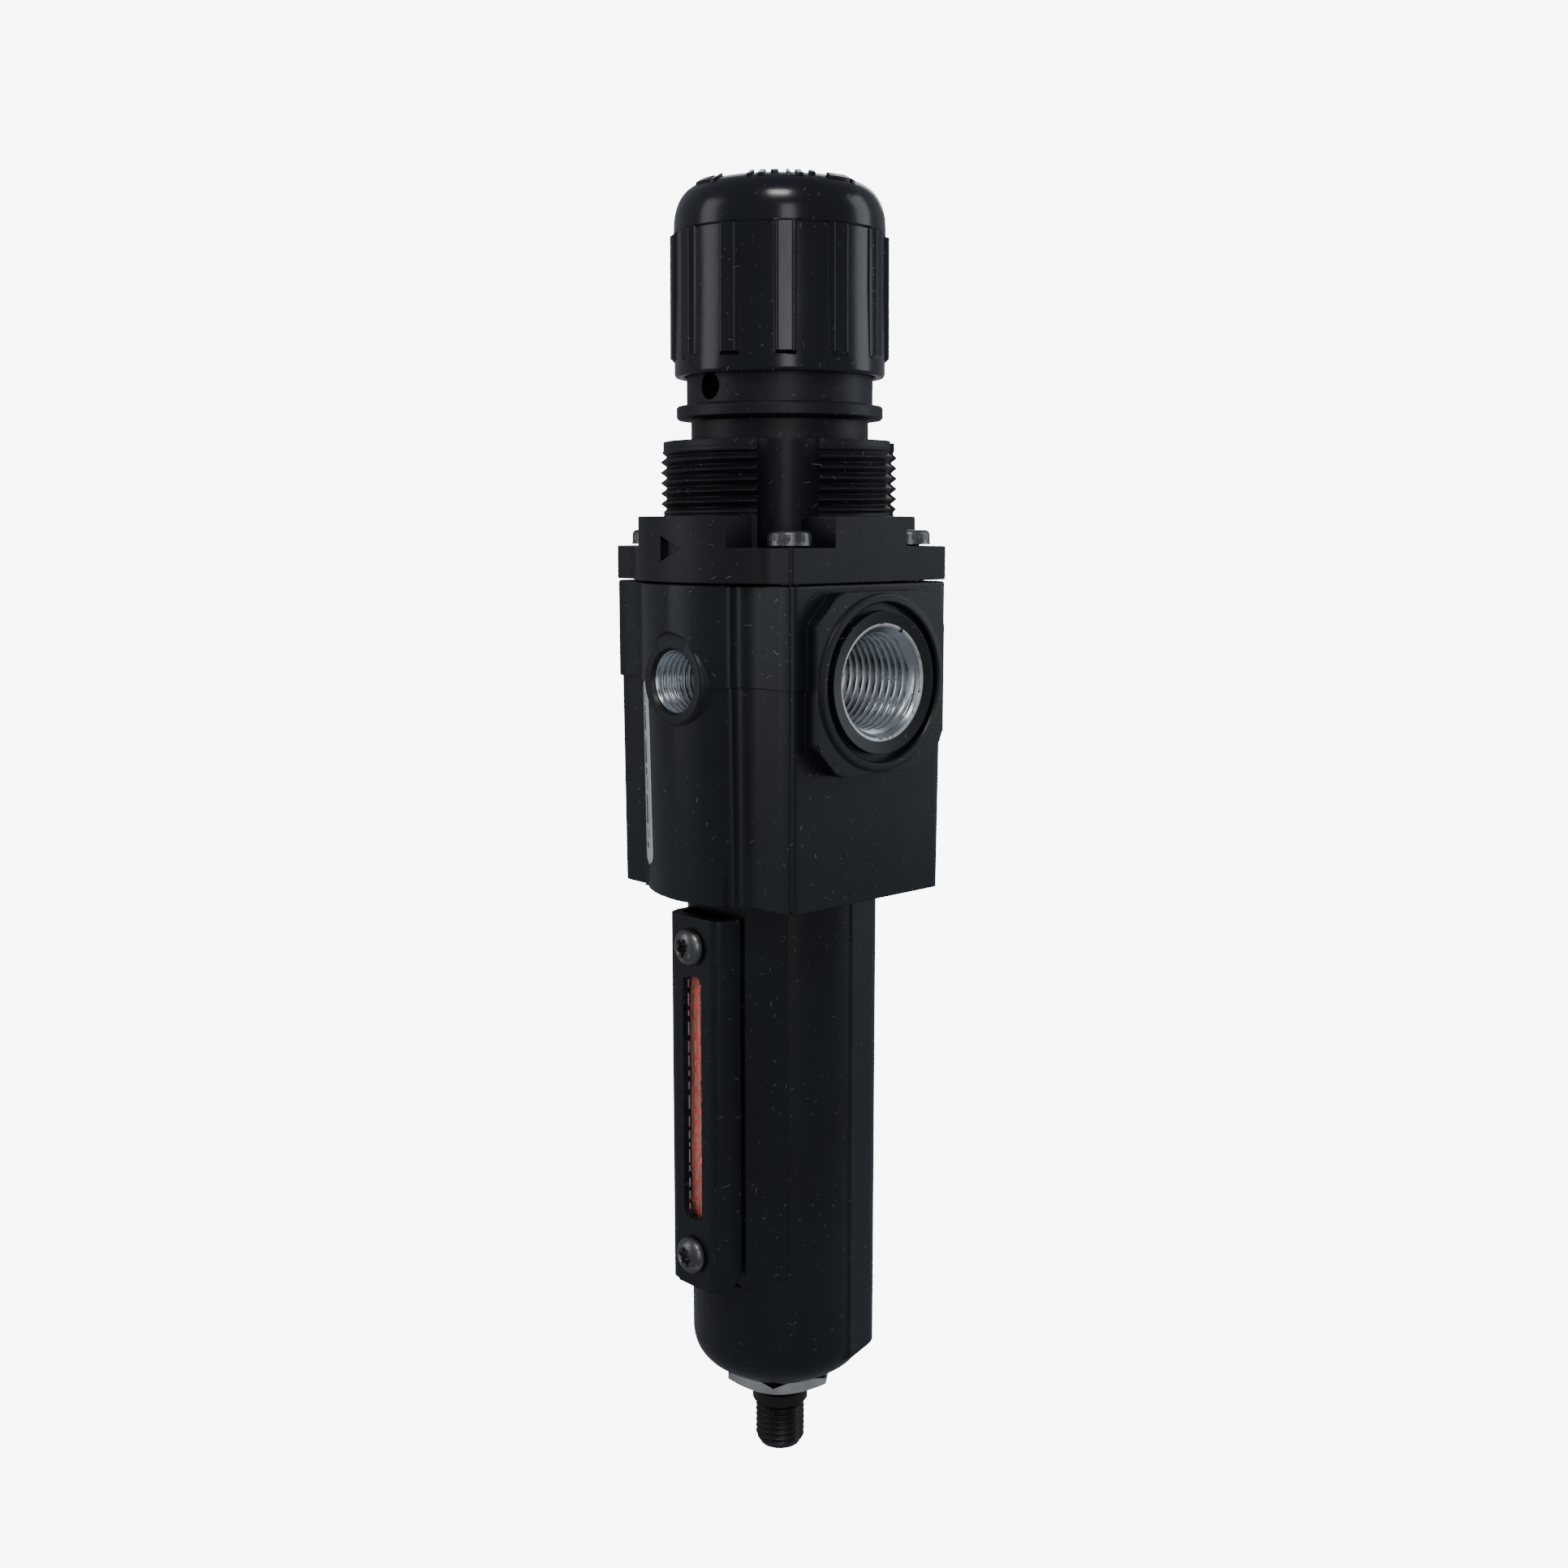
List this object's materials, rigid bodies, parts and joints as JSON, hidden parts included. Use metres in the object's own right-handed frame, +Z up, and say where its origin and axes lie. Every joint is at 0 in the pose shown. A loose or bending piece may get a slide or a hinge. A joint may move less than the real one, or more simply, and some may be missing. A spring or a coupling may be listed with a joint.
{
  "type": "filter regulator lubricator",
  "caption": "Compressed-air filter and pressure regulator in one black housing, with adjusting knob, threaded bonnet, metal bowl with sight glass and bottom drain.",
  "frame": {"origin": "where the axis through the inlet and outlet ports crosses the upright axis of the housing", "axes": "+Z up towards the adjusting knob, +X out of the outlet port, -Y out of the front gauge port, on the side of the sight glass"},
  "size_m": [0.0594, 0.059, 0.2644],
  "materials": {
    "black_paint": "satin",
    "black_plastic": "satin",
    "knob_plastic": "satin",
    "dark_steel": "satin",
    "zinc_plate": "satin",
    "spring_steel": "satin",
    "brass": "satin",
    "black_rubber": "matte",
    "orange_rubber": "matte",
    "clear_lens": "gloss",
    "sintered_white": "matte",
    "white_plastic": "matte"
  },
  "bodies": {
    "housing": {"body": "black_paint", "bonnet": "black_plastic", "bonnet_screw_1": "dark_steel", "bonnet_screw_2": "dark_steel", "bonnet_screw_3": "dark_steel", "bonnet_screw_4": "dark_steel", "thrust_washer": "brass", "adjusting_spring": "spring_steel", "diaphragm": "black_rubber", "valve_spring": "spring_steel", "valve_cage": "white_plastic", "filter_element": "sintered_white", "baffle": "white_plastic", "air_deflector": "white_plastic", "bowl": "black_paint", "bowl_o_ring": "black_rubber", "lens_gasket": "orange_rubber", "lens": "clear_lens", "lens_cover": "black_paint", "lens_cover_screw_upper": "dark_steel", "lens_cover_screw_lower": "dark_steel", "drain_body": "black_plastic", "drain_seal": "black_rubber", "drain_nut": "zinc_plate", "rear_gauge_plug": "dark_steel"},
    "screw": {"adjusting_screw": "zinc_plate"},
    "knob": {"knob": "knob_plastic"},
    "upper_rest": {"upper_spring_rest": "zinc_plate"},
    "valve": {"lower_spring_rest": "zinc_plate", "diaphragm_hub": "brass", "valve_poppet": "brass"},
    "float": {"drain_float": "white_plastic"}
  },
  "joints": [
    {"name": "knob_turn", "type": "hinge", "parent": "housing", "child": "screw", "pos_m": [0, 0, 0.065], "axis": [0, 0, -1], "range_deg": [0, 1800]},
    {"name": "knob_lift", "type": "slide", "parent": "screw", "child": "knob", "axis": [0, 0, 1], "range_m": [0, 0.003]},
    {"name": "spring_rest_travel", "type": "slide", "parent": "housing", "child": "upper_rest", "axis": [0, 0, -1], "range_m": [0, 0.0061], "deforming": ["adjusting_spring"]},
    {"name": "valve_travel", "type": "slide", "parent": "housing", "child": "valve", "axis": [0, 0, -1], "range_m": [0, 0.0012], "stiffness_N_per_m": 800, "springref_m": -0.003, "deforming": ["valve_spring", "diaphragm"]},
    {"name": "float_travel", "type": "slide", "parent": "housing", "child": "float", "axis": [0, 0, 1], "range_m": [0, 0.008]}
  ],
  "couplings": [
    {"joint": "spring_rest_travel", "follows": "knob_turn", "m_per_rad": 0.00019099}
  ]
}
